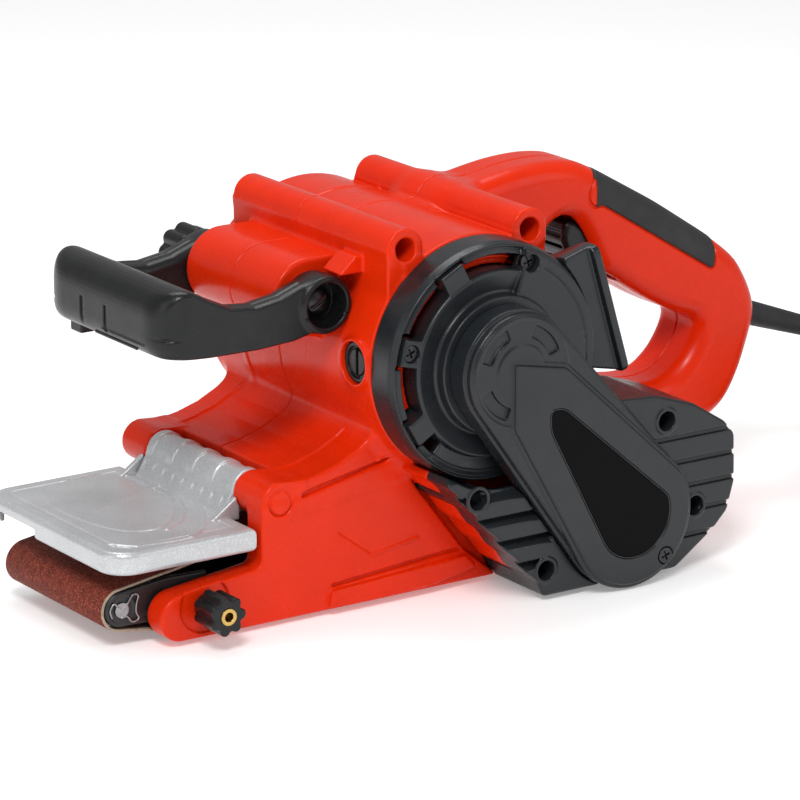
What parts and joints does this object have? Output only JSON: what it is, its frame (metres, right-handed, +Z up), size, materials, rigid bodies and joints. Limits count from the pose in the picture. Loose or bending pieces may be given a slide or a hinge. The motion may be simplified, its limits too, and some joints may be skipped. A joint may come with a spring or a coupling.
{
  "type": "handheld belt sander",
  "caption": "Handheld belt sander: motor across a flat sanding face, tilting front handle, flip-up front cover, rear handle with trigger, and a mains cord with plug",
  "frame": {"origin": "centre of the flat sanding face, where it meets the work", "axes": "+X towards the main handle and the cord, +Z up, -Y the side with the drive covers"},
  "size_m": [0.4626, 0.1787, 0.1564],
  "materials": {
    "red_plastic": "glossy moulded plastic",
    "dark_plastic": "satin moulded plastic",
    "black_plastic": "satin moulded plastic",
    "black_gloss": "polished",
    "cast_silver": "painted casting, slightly rough",
    "steel": "machined",
    "black_metal": "black painted casting",
    "dark_screw": "blackened",
    "alloy": "machined",
    "abrasive": "coated abrasive, coarse",
    "brass": "turned",
    "rubber": "fine texture",
    "winding": "varnished copper wire",
    "carbon": "pressed carbon"
  },
  "bodies": {
    "housing": {"near_housing": "red_plastic", "far_housing": "red_plastic", "base_frame": "black_metal", "platen": "steel", "platen_pad": "rubber", "sanding_belt": "abrasive", "tension_spring": "steel", "lever_pin": "steel", "shaft_bearings": "steel", "drive_belt": "rubber", "motor_bearings": "steel", "stator_core": "steel", "field_windings": "winding", "carbon_brushes": "carbon", "brush_holders": "brass", "brush_caps": "black_plastic", "motor_end_cover": "dark_plastic", "dust_outlet": "dark_plastic", "drive_cover_base": "dark_plastic", "drive_cover_arm": "dark_plastic", "cover_inlay": "black_gloss", "cover_base_screws": "dark_screw", "end_cover_screws": "dark_screw", "arm_screw": "dark_screw", "housing_screws": "dark_screw", "cover_hinge_pin": "steel", "trigger_pin": "steel", "trigger_spring": "steel", "power_switch": "dark_plastic", "handle_pad": "rubber", "strain_relief": "rubber", "cord_tube": "rubber", "cord_coil": "rubber", "cord_tail": "rubber", "plug_body": "black_plastic", "plug_pins": "steel"},
    "front_yoke": {"front_yoke": "black_metal", "front_axle": "steel", "axle_clips": "steel"},
    "front_roller": {"front_roller": "alloy"},
    "tension_lever": {"tension_lever": "black_plastic"},
    "tracking_knob": {"tracking_knob": "black_plastic", "tracking_insert": "brass", "tracking_stud": "steel"},
    "drive_roller": {"drive_roller": "alloy", "roller_sleeve": "rubber", "drive_shaft": "steel", "drive_pulley": "alloy"},
    "rotor": {"rotor_shaft": "steel", "armature_core": "steel", "commutator": "brass", "cooling_fan": "black_plastic", "motor_pulley": "alloy"},
    "front_cover": {"front_cover": "cast_silver"},
    "front_handle": {"front_handle": "black_plastic", "handle_bolt": "steel"},
    "clamp_knob": {"clamp_knob": "black_plastic"},
    "trigger": {"trigger": "black_plastic"},
    "lock_button": {"lock_button": "black_plastic"}
  },
  "joints": [
    {"name": "front_handle_tilt", "type": "hinge", "parent": "housing", "child": "front_handle", "pos_m": [-0.01, 0, 0.1225], "axis": [0, 1, 0], "range_deg": [-10, 50]},
    {"name": "clamp_knob_turn", "type": "hinge", "parent": "front_handle", "child": "clamp_knob", "pos_m": [-0.01, 0.06, 0.1225], "axis": [0, 1, 0], "range_deg": [-360, 360]},
    {"name": "front_cover_flip", "type": "hinge", "parent": "housing", "child": "front_cover", "pos_m": [-0.0399, 0, 0.0503], "axis": [0, 1, 0], "range_deg": [0, 45]},
    {"name": "trigger_squeeze", "type": "hinge", "parent": "housing", "child": "trigger", "pos_m": [0.152, 0.008, 0.111], "axis": [0, 1, 0], "range_deg": [0, 8], "stiffness_Nm_per_rad": 0.6},
    {"name": "lock_button_push", "type": "slide", "parent": "housing", "child": "lock_button", "axis": [0, -1, 0], "range_m": [0, 0.004], "stiffness_N_per_m": 300},
    {"name": "tracking_knob_turn", "type": "hinge", "parent": "housing", "child": "tracking_knob", "pos_m": [-0.0747, -0.05, 0.015], "axis": [0, 1, 0], "range_deg": [-360, 360]},
    {"name": "yoke_slide", "type": "slide", "parent": "housing", "child": "front_yoke", "axis": [1, 0, 0], "range_m": [0, 0.008], "stiffness_N_per_m": 1500},
    {"name": "tension_lever_swing", "type": "hinge", "parent": "housing", "child": "tension_lever", "pos_m": [-0.024, 0.03, 0.015], "axis": [0, 0, 1], "range_deg": [0, 82]},
    {"name": "motor_spin", "type": "hinge", "parent": "housing", "child": "rotor", "pos_m": [0.046, 0, 0.0985], "axis": [0, 1, 0], "continuous": true},
    {"name": "drive_spin", "type": "hinge", "parent": "housing", "child": "drive_roller", "pos_m": [0.1035, 0, 0.029], "axis": [0, 1, 0], "continuous": true},
    {"name": "idler_spin", "type": "hinge", "parent": "front_yoke", "child": "front_roller", "pos_m": [-0.105, 0, 0.0153], "axis": [0, 1, 0], "continuous": true}
  ],
  "couplings": [
    {"joint": "drive_spin", "follows": "motor_spin", "ratio": 0.5706},
    {"joint": "idler_spin", "follows": "motor_spin", "ratio": 1.6669},
    {"joint": "tension_lever_swing", "follows": "yoke_slide", "rad_per_m": 174}
  ]
}
